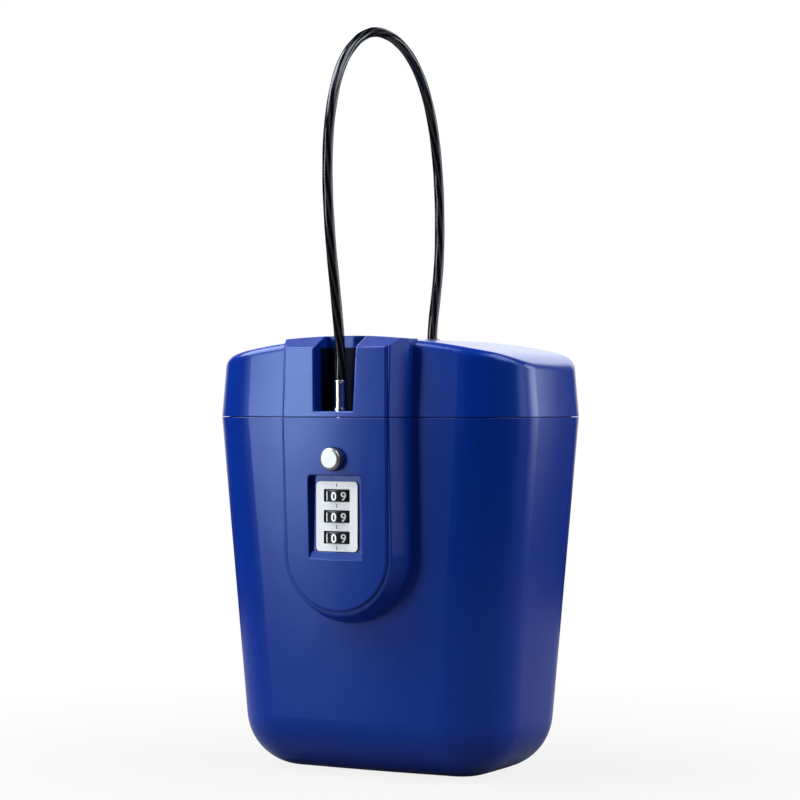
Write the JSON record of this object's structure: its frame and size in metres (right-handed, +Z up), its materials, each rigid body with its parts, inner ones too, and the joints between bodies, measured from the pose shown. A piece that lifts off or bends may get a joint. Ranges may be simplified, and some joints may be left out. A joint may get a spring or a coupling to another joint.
{
  "type": "portable safe",
  "caption": "Portable safe: tall tapered case, arched hinged lid, dial lock in a raised front housing with a push button, and a steel cable loop that plugs into the lock.",
  "frame": {"origin": "centre of the flat base, on the plane of symmetry", "axes": "+Z up, the lock housing and its dials face -Y, +X to the right of the dials"},
  "size_m": [0.15, 0.1176, 0.3157],
  "materials": {
    "blue_shell": "satin royal blue",
    "lock_plastic": "fine matt",
    "dial_plastic": "gloss",
    "cable_coat": "gloss vinyl",
    "seal_rubber": "matt",
    "polished_metal": "polished",
    "bright_plate": "fine satin",
    "steel": "plated",
    "spring_steel": "bright"
  },
  "bodies": {
    "case": {"case_shell": "blue_shell", "hinge_pin": "steel", "pin_socket": "steel", "lock_frame": "lock_plastic", "lock_cover": "lock_plastic", "lock_cover_screws": "steel", "dial_plate": "bright_plate", "dial_spindle": "steel", "detent_spring": "spring_steel", "latch_spring": "spring_steel"},
    "lid": {"lid_shell": "blue_shell", "lid_liner": "lock_plastic", "lid_seal": "seal_rubber", "liner_screws": "steel", "anchor_plate": "steel", "anchor_screws": "steel", "cable_grommet": "lock_plastic", "cable_stop": "steel", "cable": "cable_coat", "pin_guide": "lock_plastic"},
    "cable_pin": {"cable_ferrule": "polished_metal", "locking_pin": "polished_metal"},
    "release_button": {"release_button": "polished_metal"},
    "latch": {"latch": "steel"},
    "dial_top": {"dial_top": "dial_plastic"},
    "dial_middle": {"dial_middle": "dial_plastic"},
    "dial_bottom": {"dial_bottom": "dial_plastic"}
  },
  "joints": [
    {"name": "lid_hinge", "type": "hinge", "parent": "case", "child": "lid", "pos_m": [0, 0.0493, 0.15], "axis": [-1, 0, 0], "range_deg": [0, 110]},
    {"name": "pin_slide", "type": "slide", "parent": "lid", "child": "cable_pin", "axis": [0, 0, 1], "range_m": [0, 0.018], "deforming": ["cable"]},
    {"name": "button_press", "type": "slide", "parent": "case", "child": "release_button", "axis": [0, 1, 0], "range_m": [0, 0.003], "stiffness_N_per_m": 400, "springref_m": -0.003, "deforming": ["latch_spring"]},
    {"name": "latch_slide", "type": "slide", "parent": "case", "child": "latch", "axis": [0, 1, 0], "range_m": [0, 0.003]},
    {"name": "dial_bottom_turn", "type": "hinge", "parent": "case", "child": "dial_bottom", "pos_m": [0, -0.0506, 0.10065], "axis": [0, 0, 1], "continuous": true},
    {"name": "dial_middle_turn", "type": "hinge", "parent": "case", "child": "dial_middle", "pos_m": [0, -0.0506, 0.1093], "axis": [0, 0, 1], "continuous": true},
    {"name": "dial_top_turn", "type": "hinge", "parent": "case", "child": "dial_top", "pos_m": [0, -0.0506, 0.11795], "axis": [0, 0, 1], "continuous": true}
  ],
  "couplings": [
    {"joint": "latch_slide", "follows": "button_press", "ratio": 1}
  ]
}
